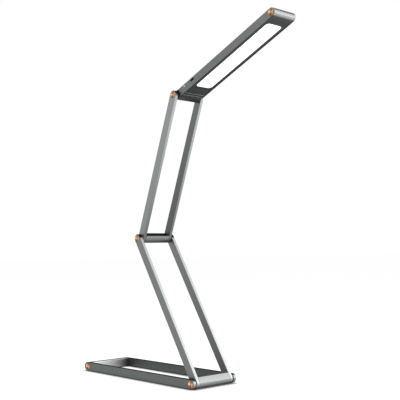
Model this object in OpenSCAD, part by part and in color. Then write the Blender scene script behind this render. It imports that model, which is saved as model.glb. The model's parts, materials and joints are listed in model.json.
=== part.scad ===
// Folding LED desk lamp. Four flat frames nest inside one another: base, lower arm, upper arm and head.
// Each frame turns on a through axle with a spun copper cap on either end.
// Origin: the middle between the base's four feet, on the table. +X runs along the base to its hinge end,
// +Y to the back rail, +Z up. The frames are drawn in the pose in which the lamp is used.

/* [Frames] */
// Depth of the base and of both arms, from their lower to their upper edge
frame_h = 13; // [11:0.5:14]
// Thickness of a side rail
rail_t = 5.2; // [4.6:0.1:7]
// Side gap between a frame and the frame that nests inside it
nest_gap = 1.3; // [1.1:0.05:2]
// End gap between a frame's bar and the frame that nests inside it
end_gap = 3; // [2:0.5:10]
// Outer width of the base frame
base_w = 80; // [76:1:110]
// Base length from the centre of its end bar to its hinge axis
base_len = 253; // [230:1:300]
// Distance from the caps at the base's far end to the centre of its round end
base_reach = 3; // [0:0.5:6]
// Chamfer along the edges of the rails and of the head
edge_c = 0.5; // [0.2:0.05:0.8]
// Corner radius of the flat side of the cross bars
bar_round = 0.6; // [0.3:0.1:2]

/* [Pose] */
// Angle that the lower arm is opened from lying in the base
base_open = 58.1; // [50:0.1:90]
// Angle that the upper arm is opened from lying in the lower arm
elbow_open = 126.4; // [100:0.1:150]
// Angle that the head is opened from lying in the upper arm
head_open = 133.1; // [110:0.1:160]

/* [Hinges] */
// Diameter of the steel axles
axle_d = 5; // [4:0.1:5.4]
// Radial running clearance of an axle in its bores
run_gap = 0.05; // [0.02:0.01:0.09]
// Clearance between faces that slide on each other
face_gap = 0.05; // [0.03:0.01:0.1]
// Clearance round a piece that is seated and does not move
seat_gap = 0.03; // [0.01:0.01:0.08]
// Wall of the flanged bushes
bush_wall = 0.9; // [0.5:0.1:1.1]
// Thickness of a bush's flange
flange_t = 0.6; // [0.4:0.05:0.8]
// Diameter of the bush flanges and of the spring washers
flange_d = 9.6; // [8.6:0.1:10.4]

/* [Caps] */
// Diameter of the copper caps
cap_d = 9.3; // [8.4:0.1:9.8]
// Thickness of a cap at its rim
cap_t = 1.6; // [1.2:0.1:2]
// Height of a cap's rim above the rail
cap_proud = 0.4; // [0.1:0.05:0.8]
// Depth of the shallow dish turned into a cap's face
cap_dish = 0.3; // [0.1:0.05:0.6]
// Gap round a cap in its recess
cap_gap = 0.1; // [0.05:0.05:0.3]
// Diameter of the threaded stub behind a cap
stub_d = 2.4; // [1.6:0.1:2.8]
// Length of the stub
stub_len = 1.3; // [0.8:0.1:1.4]

/* [Screws] */
// Shank diameter of the screws that hold the arm bars
arm_screw_d = 1.6; // [1.2:0.1:1.8]
// Head diameter of those screws
arm_screw_head_d = 2.4; // [2:0.1:2.6]
// Head height of those screws
arm_screw_head_t = 1; // [0.6:0.1:1.4]
// Distance of those screws from the axle, along and across the arm
arm_screw_off = 3.3; // [3:0.1:3.6]
// Depth that those screws reach into the bar
arm_screw_bite = 7; // [4:0.5:12]
// Shank diameter of the screws that hold the base bar
base_screw_d = 3; // [2.4:0.1:3.4]
// Head diameter of those screws
base_screw_head_d = 5.4; // [4.6:0.1:6.4]
// Head height of those screws
base_screw_head_t = 1.5; // [1:0.1:1.8]
// Depth that those screws reach into the bar
base_screw_bite = 11; // [6:0.5:20]

/* [Feet] */
// Length of a rubber foot
foot_len = 24; // [12:1:40]
// Width of a rubber foot
foot_w = 3.4; // [2.4:0.1:3.8]
// Depth that a foot is let into its rail
foot_sink = 0.6; // [0.3:0.1:0.8]
// Height of a foot below its rail
foot_proud = 0.8; // [0.4:0.1:2]
// Distance of a foot's centre from the end bar's or the hinge's centre
foot_inset = 22; // [18:1:60]

/* [Head] */
// Depth of the head, from its underside to its top
head_h = 12; // [11:0.5:13]
// Side wall of the head shell
shell_wall = 1.6; // [1.2:0.1:2]
// Top wall of the head shell
shell_top = 1.4; // [1:0.1:1.6]
// Radius of the hollow curve that the shell's side plates keep round the hinge
shell_clear_r = 8.6; // [8:0.1:10]
// Length of the hinge block's flush underside from the axis
block_len = 12; // [10:0.5:14]
// Width of the groove on either side of the hinge cover
groove = 0.6; // [0.2:0.1:0.8]
// Length of the hinge cover
cover_len = 4.4; // [4.2:0.1:6]
// Depth that the bezel's face lies inside the shell's lower edges
bezel_set = 0.5; // [0.1:0.1:1]
// Thickness of the bezel and of the hinge cover
bezel_t = 1.4; // [1:0.1:1.6]
// Depth that the hinge cover lies below the bezel's face
cover_drop = 0.3; // [0.1:0.1:0.5]
// Thickness of the snap rim inside the bezel
rim_t = 0.9; // [0.6:0.1:1.2]
// Height of the snap rim
rim_h = 2; // [1:0.1:2.6]

/* [Light window] */
// Distance from the hinge axis to the near end of the light window
window_x = 36.6; // [34:0.1:50]
// Distance from the far end of the light window to the nose
window_end = 8.8; // [4:0.1:20]
// Distance from the light window to the head's side face
window_side = 6.2; // [5.8:0.1:10]
// Corner radius of the light window
window_r = 5; // [1:0.5:8]
// Depth that the diffuser's face is set back from the bezel's face
diffuser_set = 0.3; // [0.1:0.1:0.6]
// Width of the diffuser's flange behind the bezel
diffuser_lip = 1.5; // [1:0.1:1.8]
// Thickness of the diffuser's flange
diffuser_flange_t = 1; // [0.6:0.1:1.4]
// Wall of the reflector frame
reflector_wall = 1.2; // [0.8:0.1:1.6]
// Thickness of both circuit boards
board_t = 1; // [0.8:0.1:1.1]
// Number of LEDs in one row
led_count = 20; // [8:1:30]
// Length of one LED
led_len = 3.5; // [2:0.1:4]
// Width of one LED
led_w = 2.8; // [1.5:0.1:3.5]
// Height of one LED
led_t = 0.8; // [0.5:0.1:1]

/* [Control board and battery] */
// Gap between the hinge block's tongue and the control board
board_gap = 1.4; // [1:0.1:3]
// Length of the control board
board_len = 47; // [45:1:48]
// Gap between the control board and the head's side wall
board_side = 1.7; // [1.5:0.1:2.4]
// Gap between the control board and the battery
battery_gap = 4.6; // [2:0.1:8]
// Distance from the battery to the nose
battery_end = 17; // [5:1:60]
// Gap between the battery and the head's side wall
battery_side = 1.9; // [1.2:0.1:6]
// Thickness of the foam tape over the battery
tape_t = 0.5; // [0.3:0.1:1]
// Width of a battery tab
tab_w = 4; // [2:0.5:6]
// Thickness of a battery tab
tab_t = 0.2; // [0.1:0.05:0.4]
// Distance of a battery tab from the battery's side
tab_inset = 6; // [2:0.5:7]
// Diameter of the pins that join the two boards
pin_d = 0.8; // [0.5:0.1:1]
// Height of a pin above the control board
pin_top = 0.6; // [0.3:0.1:1.5]
// Distance of the first pins from the near end of the light window
pin_x = 6.5; // [2:0.5:8]
// Distance of the second pins from the battery tabs
pin_end = 7.7; // [4:0.1:12]
// Distance of the pins from the side of the control board
pin_inset = 7; // [6:0.5:8]

/* [Charging socket and button] */
// Distance from the hinge axis to the charging socket
socket_x = 39.4; // [34:0.1:50]
// Width of the socket's metal shell
socket_w = 7.6; // [7:0.1:8]
// Depth of the socket's metal shell
socket_d = 5.6; // [4:0.1:7]
// Room between the socket and the head's top wall
socket_room = 0.8; // [0.5:0.1:1]
// Gap between the socket and its opening in the shell
socket_gap = 0.2; // [0.1:0.05:0.3]
// Sheet thickness of the socket's metal shell
socket_sheet = 0.3; // [0.2:0.05:0.4]
// Distance of the socket's mouth behind the head's side face
socket_set = 0.5; // [0.2:0.1:1]
// Depth of the insulating block at the socket's back
insert_block = 1.6; // [1:0.1:2.4]
// Width of the tongue that carries the contacts
tongue_w = 4; // [3:0.1:5]
// Thickness of that tongue
tongue_t = 0.7; // [0.4:0.1:1]
// Distance of that tongue's tip behind the socket's mouth
tongue_set = 0.9; // [0.4:0.1:2]
// Distance from the hinge axis to the button
button_x = 21.2; // [20:0.1:30]
// Room between the button's flange and the head's top wall
button_room = 0.15; // [0.1:0.05:0.3]
// Diameter of the button
button_d = 3; // [2:0.1:3.2]
// Height of the button's face above the head's side face
button_proud = 0.5; // [0.45:0.05:0.8]
// Travel of the button
button_travel = 0.4; // [0.2:0.05:0.45]
// Width of the flange that keeps the button in the shell
button_lip = 0.35; // [0.2:0.05:0.38]
// Thickness of that flange
button_lip_t = 0.6; // [0.4:0.1:0.8]
// Depth of the tact switch behind the button
switch_d = 3; // [2:0.1:4]
// Width of the tact switch
switch_w = 4; // [3:0.1:5]
// Diameter of the switch's plunger
plunger_d = 1.5; // [0.8:0.1:2]
// Length of the switch's plunger
plunger_len = 1; // [0.7:0.1:1.5]

/* [Head screws] */
// Shank diameter of the screws that hold the shell to the hinge block
head_screw_d = 2; // [1.6:0.1:2.4]
// Head diameter of those screws
head_screw_head_d = 3.6; // [3:0.1:4]
// Head height of those screws
head_screw_head_t = 1.2; // [0.8:0.1:1.6]
// Distance of those screws from the shell's side wall
head_screw_inset = 6.9; // [4:0.1:9]
// Depth that those screws reach into the top wall
head_screw_bite = 0.9; // [0.5:0.1:0.95]

/* [Hidden] */

$fn = 96;
eps = 1;
half_h = frame_h / 2;
half_head = head_h / 2;
half_rail = rail_t / 2;
axle_r = axle_d / 2;
bore_r = axle_r + run_gap;
cap_recess = cap_t - cap_proud + cap_gap;
cap_seat = cap_t - cap_proud;
washer_t = nest_gap - flange_t - 2 * face_gap;
nest_step = frame_h + end_gap;

// Frames are counted from the outside in: base, lower arm, upper arm, head
BASE = 0;
LOWER = 1;
UPPER = 2;
HEAD = 3;
function frame_w(level) = base_w - 2 * level * (rail_t + nest_gap);
function inner_w(level) = frame_w(level) - 2 * rail_t;
function frame_len(level) = base_len - level * nest_step;

lower_angle = 180 - base_open;
upper_angle = lower_angle - 180 + elbow_open;
head_angle = upper_angle - 180 + head_open;
axis_z = foot_proud + half_h;

// Heights inside the head, counted from its middle plane
head_w = frame_w(HEAD);
head_len = frame_len(HEAD);
head_in_w = head_w - 2 * shell_wall;
head_ceiling = half_head - shell_top;
bezel_z = -half_head + bezel_set;
bezel_top = bezel_z + bezel_t;
flange_top = bezel_top + diffuser_flange_t;
led_board_z = -board_t;
reflector_h = led_board_z - flange_top;
control_z = 0;
control_top = control_z + board_t;
battery_t = head_ceiling - tape_t - control_z;
socket_h = head_ceiling - socket_room - control_top;
socket_z = control_top + socket_h / 2;
button_z = head_ceiling - button_room - button_lip - button_d / 2;

// Places along the head, counted from its hinge axis, and widths
nose_x = head_len - half_head;
fitted_w = head_in_w - 2 * seat_gap;
cover_x = block_len + groove;
tongue_len = cover_x + cover_len;
bezel_x = tongue_len + groove;
bezel_len = nose_x - seat_gap - bezel_x;
window_len = nose_x - window_end - window_x;
window_w = head_w - 2 * window_side;
led_pitch = (window_len - 2 * reflector_wall) / led_count;
board_x = tongue_len + board_gap;
board_w = head_in_w - 2 * board_side;
tab_x = board_x + board_len - tab_w;
battery_x = board_x + board_len + battery_gap;
battery_len = nose_x - battery_end - battery_x;
battery_w = head_in_w - 2 * battery_side;
socket_y = -head_w / 2 + socket_set;
// Back of the button's flange at rest
button_back = -head_in_w / 2 + face_gap + button_lip_t;

// Places of the four frames
module in_base() translate([-base_len / 2, 0, axis_z]) children();
module in_lower_arm() translate([base_len / 2, 0, axis_z]) rotate([0, -lower_angle, 0]) children();
module in_upper_arm() in_lower_arm() translate([frame_len(LOWER), 0, 0])
    rotate([0, lower_angle - upper_angle, 0]) children();
module in_head() in_upper_arm() translate([frame_len(UPPER), 0, 0])
    rotate([0, upper_angle - head_angle, 0]) children();

// The same piece on the back side and, mirrored, on the front side
module both_sides() {
    children();
    mirror([0, 1, 0]) children();
}

// Cylinder along Y between two places
module y_cyl(r, y0, y1) translate([0, y0, 0]) rotate([-90, 0, 0]) cylinder(r = r, h = y1 - y0);

// Ring along Y between two places
module y_ring(r_out, r_in, y0, y1) difference() {
    y_cyl(r_out, y0, y1);
    y_cyl(r_in, y0 - eps, y1 + eps);
}

// Chamfered disc along Y that ends a rail, centred on its thickness
module rail_end(thickness) rotate([90, 0, 0]) rotate_extrude() polygon([
    [0, -thickness / 2], [half_h - edge_c, -thickness / 2], [half_h, -thickness / 2 + edge_c],
    [half_h, thickness / 2 - edge_c], [half_h - edge_c, thickness / 2], [0, thickness / 2]
]);

// Rail from the origin along +X, with its outer face at y = 0 and its inner face at y = -rail_t
module rail_body(length) translate([0, -half_rail, 0]) {
    rotate([90, 0, 90]) linear_extrude(length) polygon([
        [-half_rail, -half_h + edge_c], [-half_rail + edge_c, -half_h],
        [half_rail - edge_c, -half_h], [half_rail, -half_h + edge_c],
        [half_rail, half_h - edge_c], [half_rail - edge_c, half_h],
        [-half_rail + edge_c, half_h], [-half_rail, half_h - edge_c]
    ]);
    rail_end(rail_t);
    translate([length, 0, 0]) rail_end(rail_t);
}

// Cut for a hinge's cap and bush at the far end of a rail
module hinge_seat() {
    y_cyl(bore_r + bush_wall + seat_gap, -rail_t - eps, eps);
    y_cyl(cap_d / 2 + cap_gap, -cap_recess, eps);
}

module base_rail() difference() {
    translate([-base_reach, 0, 0]) rail_body(base_reach + base_len);
    y_cyl(base_screw_d / 2 + seat_gap, -rail_t - eps, eps);
    y_cyl(base_screw_head_d / 2 + seat_gap, -cap_recess - base_screw_head_t, eps);
    y_cyl(cap_d / 2 + cap_gap, -cap_recess, eps);
    translate([base_len, 0, 0]) hinge_seat();
    for (x = [foot_inset, base_len - foot_inset])
        translate([x, -half_rail, -half_h - eps]) foot_shape(foot_sink + eps, seat_gap);
}

module arm_rail(length) difference() {
    rail_body(length);
    y_cyl(bore_r, -rail_t - eps, eps);
    for (z = [-1, 1]) translate([arm_screw_off, 0, z * arm_screw_off]) {
        y_cyl(arm_screw_d / 2 + seat_gap, -rail_t - eps, eps);
        y_cyl(arm_screw_head_d / 2 + seat_gap, -arm_screw_head_t, eps);
    }
    translate([length, 0, 0]) hinge_seat();
}

// Outline of a cross bar of half the depth r: round outside, at a given reach, and flat towards +X
module bar_outline(r, reach) {
    translate([-reach, 0]) circle(r = r);
    translate([-reach, -r]) square([reach + r - bar_round, 2 * r]);
    translate([0, -r + bar_round]) square([r, 2 * (r - bar_round)]);
    for (z = [-1, 1]) translate([r - bar_round, z * (r - bar_round)]) circle(r = bar_round);
}

module bar_body(width, r, reach = 0) rotate([90, 0, 0]) linear_extrude(width, center = true)
    bar_outline(r, reach);

module arm_bar(level) difference() {
    bar_body(inner_w(level), half_h);
    y_cyl(bore_r, -inner_w(level), inner_w(level));
    both_sides() for (z = [-1, 1])
        translate([arm_screw_off, inner_w(level) / 2 - arm_screw_bite - seat_gap, z * arm_screw_off])
            y_cyl(arm_screw_d / 2 + seat_gap, 0, arm_screw_bite + eps);
}

module arm_screws(level) both_sides() for (z = [-1, 1])
    translate([arm_screw_off, frame_w(level) / 2, z * arm_screw_off]) {
        y_cyl(arm_screw_head_d / 2, -arm_screw_head_t, 0);
        y_cyl(arm_screw_d / 2, -rail_t - arm_screw_bite, -arm_screw_head_t);
    }

// Copper cap with its back at y = 0 and a threaded stub behind it
module cap() {
    rotate([-90, 0, 0]) rotate_extrude() polygon([
        [0, 0], [cap_d / 2, 0], [cap_d / 2, cap_t - cap_dish], [cap_d / 2 - cap_dish, cap_t],
        [cap_d / 2 - 2 * cap_dish, cap_t], [0, cap_t - cap_dish]
    ]);
    y_cyl(stub_d / 2, -stub_len, 0);
}

module caps(width) both_sides() translate([0, width / 2 - cap_seat, 0]) cap();

// Hole for a cap's stub, cut inwards from the seat of the cap
module stub_holes(width) both_sides()
    y_cyl(stub_d / 2 + seat_gap, width / 2 - cap_seat - stub_len - 2 * seat_gap, width / 2);

module axle(level) difference() {
    y_cyl(axle_r, -frame_w(level) / 2 + cap_seat, frame_w(level) / 2 - cap_seat);
    stub_holes(frame_w(level));
}

// Flanged bushes in the far ends of a frame's rails
module bushes(level) both_sides() {
    y_ring(bore_r + bush_wall, bore_r, inner_w(level) / 2, frame_w(level) / 2 - cap_recess);
    y_ring(flange_d / 2, bore_r, inner_w(level) / 2 - flange_t, inner_w(level) / 2);
}

// Spring washers between the bushes and the nested frame
module spring_washers(level) both_sides()
    y_ring(flange_d / 2, bore_r, inner_w(level) / 2 - nest_gap + face_gap,
           inner_w(level) / 2 - flange_t - face_gap);

module foot_shape(height, grow) linear_extrude(height) {
    square([foot_len - foot_w, foot_w + 2 * grow], center = true);
    for (x = [-1, 1]) translate([x * (foot_len - foot_w) / 2, 0]) circle(r = foot_w / 2 + grow);
}

// Rectangle in plan with round corners, from x0 along +X and centred on y = 0
module round_plate(x0, length, width, r) translate([x0, 0]) {
    translate([r, -width / 2]) square([length - 2 * r, width]);
    translate([0, -width / 2 + r]) square([length, width - 2 * r]);
    for (x = [r, length - r], y = [-1, 1]) translate([x, y * (width / 2 - r)]) circle(r = r);
}

// Slot with round ends in the head's side, wide along X
module side_slot(x, z, width, height, y0, y1) translate([x, 0, z]) {
    for (side = [-1, 1]) translate([side * (width - height) / 2, 0, 0]) y_cyl(height / 2, y0, y1);
    translate([-(width - height) / 2, y0, -height / 2]) cube([width - height, y1 - y0, height]);
}

module base_rail_front() color("dimgray") in_base() mirror([0, 1, 0])
    translate([0, frame_w(BASE) / 2, 0]) base_rail();
module base_rail_back() color("dimgray") in_base() translate([0, frame_w(BASE) / 2, 0]) base_rail();

module base_end_bar() color("gray") in_base() difference() {
    bar_body(inner_w(BASE), half_h, base_reach);
    both_sides() y_cyl(base_screw_d / 2 + seat_gap,
                       inner_w(BASE) / 2 - base_screw_bite - seat_gap, inner_w(BASE) / 2 + eps);
}

// Their heads end where the copper caps seat, and have a hole for the caps' stubs
module base_bar_screws() color("silver") in_base() both_sides() translate([0, frame_w(BASE) / 2, 0])
    difference() {
        union() {
            y_cyl(base_screw_head_d / 2, -cap_recess - base_screw_head_t, -cap_seat);
            y_cyl(base_screw_d / 2, -rail_t - base_screw_bite, -cap_recess - base_screw_head_t);
        }
        y_cyl(stub_d / 2 + seat_gap, -cap_seat - stub_len - 2 * seat_gap, eps);
    }

module base_end_caps() color("peru") in_base() caps(frame_w(BASE));
module base_bushes() color("darkgoldenrod") in_base() translate([base_len, 0, 0]) bushes(BASE);

module base_feet() color([0.1, 0.1, 0.1]) in_base() both_sides()
    for (x = [foot_inset, base_len - foot_inset])
        translate([x, frame_w(BASE) / 2 - half_rail, -half_h - foot_proud])
            foot_shape(foot_proud + foot_sink, 0);

module base_axle() color("silver") in_lower_arm() axle(BASE);
module base_axle_caps() color("peru") in_lower_arm() caps(frame_w(BASE));
module base_spring_washers() color("lightgray") in_lower_arm() spring_washers(BASE);

module lower_arm_rail_front() color("gray") in_lower_arm() mirror([0, 1, 0])
    translate([0, frame_w(LOWER) / 2, 0]) arm_rail(frame_len(LOWER));
module lower_arm_rail_back() color("gray") in_lower_arm()
    translate([0, frame_w(LOWER) / 2, 0]) arm_rail(frame_len(LOWER));
module lower_arm_bar() color("darkgray") in_lower_arm() arm_bar(LOWER);
module lower_arm_screws() color("silver") in_lower_arm() arm_screws(LOWER);
module lower_arm_bushes() color("darkgoldenrod") in_lower_arm()
    translate([frame_len(LOWER), 0, 0]) bushes(LOWER);

module elbow_axle() color("silver") in_upper_arm() axle(LOWER);
module elbow_axle_caps() color("peru") in_upper_arm() caps(frame_w(LOWER));
module elbow_spring_washers() color("lightgray") in_upper_arm() spring_washers(LOWER);

module upper_arm_rail_front() color("gray") in_upper_arm() mirror([0, 1, 0])
    translate([0, frame_w(UPPER) / 2, 0]) arm_rail(frame_len(UPPER));
module upper_arm_rail_back() color("gray") in_upper_arm()
    translate([0, frame_w(UPPER) / 2, 0]) arm_rail(frame_len(UPPER));
module upper_arm_bar() color("darkgray") in_upper_arm() arm_bar(UPPER);
module upper_arm_screws() color("silver") in_upper_arm() arm_screws(UPPER);
module upper_arm_bushes() color("darkgoldenrod") in_upper_arm()
    translate([frame_len(UPPER), 0, 0]) bushes(UPPER);

module head_axle() color("silver") in_head() axle(UPPER);
module head_axle_caps() color("peru") in_head() caps(frame_w(UPPER));
module head_spring_washers() color("lightgray") in_head() spring_washers(UPPER);

// Places of the two screws that hold the shell to the hinge block
module at_head_screws() for (side = [-1, 1])
    translate([(cover_x + tongue_len) / 2, side * (head_in_w / 2 - head_screw_inset), 0]) children();

module head_hinge_block() color([0.08, 0.08, 0.08]) in_head() difference() {
    union() {
        rotate([90, 0, 0]) linear_extrude(head_w, center = true) {
            circle(r = half_head);
            intersection() {
                translate([0, -half_head]) square([shell_clear_r, head_h]);
                circle(r = shell_clear_r - seat_gap);
            }
        }
        translate([0, -fitted_w / 2, -half_head]) cube([block_len, fitted_w, half_head]);
        translate([0, -fitted_w / 2, bezel_top + seat_gap])
            cube([tongue_len, fitted_w, head_ceiling - bezel_top - 2 * seat_gap]);
    }
    y_cyl(bore_r, -head_w, head_w);
    at_head_screws() {
        translate([0, 0, -half_head]) cylinder(r = head_screw_d / 2 + seat_gap, h = head_h);
        translate([0, 0, bezel_z])
            cylinder(r = head_screw_head_d / 2 + seat_gap, h = bezel_t + head_screw_head_t + seat_gap);
    }
}

module head_screws() color("silver") in_head() at_head_screws() {
    translate([0, 0, bezel_top + 2 * seat_gap])
        cylinder(r = head_screw_head_d / 2, h = head_screw_head_t - seat_gap);
    translate([0, 0, bezel_top + head_screw_head_t])
        cylinder(r = head_screw_d / 2, h = head_ceiling + head_screw_bite - bezel_top - head_screw_head_t);
}

// Channel section of the head shell, open downwards
module shell_section() polygon([
    [-head_w / 2, -half_head + edge_c], [-head_w / 2, half_head - edge_c],
    [-head_w / 2 + edge_c, half_head], [head_w / 2 - edge_c, half_head],
    [head_w / 2, half_head - edge_c], [head_w / 2, -half_head + edge_c],
    [head_w / 2 - edge_c, -half_head], [head_in_w / 2, -half_head], [head_in_w / 2, head_ceiling],
    [-head_in_w / 2, head_ceiling], [-head_in_w / 2, -half_head], [-head_w / 2 + edge_c, -half_head]
]);

// Round end of a side plate, chamfered on its outer edge
module side_plate_end() translate([head_len, head_in_w / 2, 0]) rotate([-90, 0, 0]) rotate_extrude()
    polygon([[0, 0], [half_head, 0], [half_head, shell_wall - edge_c], [half_head - edge_c, shell_wall],
             [0, shell_wall]]);

module head_shell() color("gray") in_head() difference() {
    union() {
        rotate([90, 0, 90]) linear_extrude(head_len) shell_section();
        both_sides() side_plate_end();
    }
    y_cyl(shell_clear_r, -head_w, head_w);
    translate([nose_x, -head_in_w / 2, 0]) cube([head_h, head_in_w, head_h]);
    side_slot(socket_x, socket_z, socket_w + 2 * socket_gap, socket_h + 2 * socket_gap,
              -head_w, -head_in_w / 2 + seat_gap);
    translate([button_x, 0, button_z]) y_cyl(button_d / 2 + run_gap, -head_w, -head_in_w / 2 + seat_gap);
    both_sides() translate([head_len, 0, 0])
        y_cyl(cap_d / 2 + cap_gap, head_w / 2 - cap_seat, head_w);
    both_sides() translate([head_len, 0, 0]) y_cyl(stub_d / 2 + seat_gap, head_in_w / 2 - seat_gap, head_w);
    at_head_screws() translate([0, 0, head_ceiling - seat_gap])
        cylinder(r = head_screw_d / 2 + seat_gap, h = head_screw_bite + 2 * seat_gap);
}

module head_nose() color("darkgray") in_head() translate([head_len, 0, 0]) difference() {
    mirror([1, 0, 0]) bar_body(fitted_w, half_head);
    stub_holes(head_w);
}

module head_nose_caps() color("peru") in_head() translate([head_len, 0, 0]) caps(head_w);

module hinge_cover() color([0.12, 0.13, 0.13]) in_head()
    translate([cover_x, -fitted_w / 2, bezel_z + cover_drop])
        cube([tongue_len - cover_x, fitted_w, bezel_t - cover_drop]);

module bezel() color([0.25, 0.27, 0.27]) in_head() {
    translate([0, 0, bezel_z]) linear_extrude(bezel_t) difference() {
        translate([bezel_x, -fitted_w / 2]) square([bezel_len, fitted_w]);
        round_plate(window_x, window_len, window_w, window_r);
    }
    translate([0, 0, bezel_top]) linear_extrude(rim_h) difference() {
        translate([bezel_x, -fitted_w / 2]) square([bezel_len, fitted_w]);
        translate([bezel_x + rim_t, -fitted_w / 2 + rim_t])
            square([bezel_len - 2 * rim_t, fitted_w - 2 * rim_t]);
    }
}

module diffuser() color("white") in_head() {
    translate([0, 0, bezel_z + diffuser_set]) linear_extrude(bezel_t - diffuser_set)
        round_plate(window_x + seat_gap, window_len - 2 * seat_gap, window_w - 2 * seat_gap, window_r);
    translate([0, 0, bezel_top]) linear_extrude(diffuser_flange_t)
        round_plate(window_x - diffuser_lip, window_len + 2 * diffuser_lip, window_w + 2 * diffuser_lip,
                    window_r + diffuser_lip);
}

module reflector() color("whitesmoke") in_head() translate([0, 0, flange_top]) linear_extrude(reflector_h)
    difference() {
        round_plate(window_x - diffuser_lip, window_len + 2 * diffuser_lip,
                    window_w + 2 * diffuser_lip, window_r);
        round_plate(window_x - diffuser_lip + reflector_wall,
                    window_len + 2 * (diffuser_lip - reflector_wall),
                    window_w + 2 * (diffuser_lip - reflector_wall), window_r / 2);
    }

// Places of the pins that join the two boards
module at_pins() for (x = [window_x + pin_x, tab_x - pin_end], side = [-1, 1])
    translate([x, side * (board_w / 2 - pin_inset), 0]) children();

module led_board() color("ivory") in_head() difference() {
    translate([window_x - diffuser_lip, -window_w / 2 - diffuser_lip, led_board_z])
        cube([window_len + 2 * diffuser_lip, window_w + 2 * diffuser_lip, board_t]);
    at_pins() translate([0, 0, led_board_z - eps])
        cylinder(r = pin_d / 2 + seat_gap, h = board_t + 2 * eps);
}

// Each row runs down the middle of its half of the window
module leds() color([1, 0.95, 0.7]) in_head() for (i = [0:led_count - 1], side = [-1, 1])
    translate([window_x + reflector_wall + (i + 0.5) * led_pitch - led_len / 2,
               side * window_w / 4 - led_w / 2, led_board_z - led_t])
        cube([led_len, led_w, led_t]);

module control_board() color("darkgreen") in_head() difference() {
    translate([board_x, -board_w / 2, control_z]) cube([board_len, board_w, board_t]);
    at_pins() translate([0, 0, control_z - eps]) cylinder(r = pin_d / 2 + seat_gap, h = board_t + 2 * eps);
}

module board_pins() color("gold") in_head() at_pins()
    translate([0, 0, led_board_z]) cylinder(r = pin_d / 2, h = 2 * board_t + pin_top);

// The socket stands on the control board, with its mouth towards the front
module charging_socket() color("silver") in_head() translate([0, socket_y, 0]) difference() {
    side_slot(socket_x, socket_z, socket_w, socket_h, 0, socket_d);
    side_slot(socket_x, socket_z, socket_w - 2 * socket_sheet, socket_h - 2 * socket_sheet,
              -eps, socket_d - socket_sheet);
}

// Block at the back of the socket, with the thin tongue that carries the contacts
module socket_tongue() color([0.1, 0.1, 0.1]) in_head() translate([0, socket_y, 0]) {
    side_slot(socket_x, socket_z, socket_w - 2 * socket_sheet - 2 * seat_gap,
              socket_h - 2 * socket_sheet - 2 * seat_gap,
              socket_d - insert_block - socket_sheet, socket_d - socket_sheet);
    translate([socket_x - tongue_w / 2, tongue_set, socket_z - tongue_t / 2])
        cube([tongue_w, socket_d - socket_sheet - tongue_set, tongue_t]);
}

// The switch is as tall as the charging socket
module tact_switch() color("lightgray") in_head()
    translate([button_x, button_back + button_travel + face_gap, 0]) {
        translate([0, 0, button_z]) y_cyl(plunger_d / 2, 0, plunger_len);
        translate([-switch_w / 2, plunger_len, control_top]) cube([switch_w, switch_d, socket_h]);
    }

module battery() color("silver") in_head() translate([battery_x, -battery_w / 2, control_z])
    cube([battery_len, battery_w, battery_t]);

module battery_tape() color("black") in_head()
    translate([battery_x, -battery_w / 2, control_z + battery_t])
        cube([battery_len, battery_w, tape_t]);

module battery_tabs() color("lightgray") in_head() for (side = [-1, 1])
    translate([tab_x, side * (battery_w / 2 - tab_inset) - tab_w / 2, control_top])
        cube([battery_gap + tab_w, tab_w, tab_t]);

module power_button() color("whitesmoke") in_head() translate([button_x, 0, button_z]) {
    y_cyl(button_d / 2, -head_w / 2 - button_proud, button_back);
    y_cyl(button_d / 2 + button_lip, -head_in_w / 2 + face_gap, button_back);
}

base_rail_front();
base_rail_back();
base_end_bar();
base_bar_screws();
base_end_caps();
base_bushes();
base_feet();
base_axle();
base_axle_caps();
base_spring_washers();
lower_arm_rail_front();
lower_arm_rail_back();
lower_arm_bar();
lower_arm_screws();
lower_arm_bushes();
elbow_axle();
elbow_axle_caps();
elbow_spring_washers();
upper_arm_rail_front();
upper_arm_rail_back();
upper_arm_bar();
upper_arm_screws();
upper_arm_bushes();
head_axle();
head_axle_caps();
head_spring_washers();
head_hinge_block();
head_shell();
head_nose();
head_nose_caps();
head_screws();
hinge_cover();
bezel();
diffuser();
reflector();
led_board();
leds();
control_board();
board_pins();
charging_socket();
socket_tongue();
tact_switch();
battery();
battery_tape();
battery_tabs();
power_button();
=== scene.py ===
# %% [markdown]
# # A folding LED desk lamp
#
# Four flat metal frames nest inside one another: a base, a lower arm, an upper arm and a slim lit head.
# The solids come from the CAD model, at their real size and in their real place. This lesson gives them
# their finishes, builds the small detailed parts, and sets up the camera and the light.

# %% Load the solids
import json
import math

import bmesh
import bpy
from mathutils import Matrix, Vector


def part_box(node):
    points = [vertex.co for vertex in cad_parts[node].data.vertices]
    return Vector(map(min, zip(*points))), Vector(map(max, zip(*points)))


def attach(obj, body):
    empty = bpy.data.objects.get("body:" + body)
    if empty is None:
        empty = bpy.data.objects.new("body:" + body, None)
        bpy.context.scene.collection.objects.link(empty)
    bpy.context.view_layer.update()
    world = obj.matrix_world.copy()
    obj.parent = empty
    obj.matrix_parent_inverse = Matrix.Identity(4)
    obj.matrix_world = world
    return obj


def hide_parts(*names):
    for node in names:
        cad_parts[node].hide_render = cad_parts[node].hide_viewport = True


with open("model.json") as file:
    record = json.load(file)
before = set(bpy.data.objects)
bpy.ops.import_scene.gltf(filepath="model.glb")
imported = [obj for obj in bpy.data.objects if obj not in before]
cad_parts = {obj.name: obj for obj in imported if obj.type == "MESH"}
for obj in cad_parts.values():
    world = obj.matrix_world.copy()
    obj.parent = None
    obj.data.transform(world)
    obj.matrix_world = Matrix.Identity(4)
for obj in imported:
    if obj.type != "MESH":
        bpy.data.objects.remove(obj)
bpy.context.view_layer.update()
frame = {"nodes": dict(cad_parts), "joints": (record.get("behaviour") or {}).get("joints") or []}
nodes = frame["nodes"]
MM = 0.001
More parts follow.
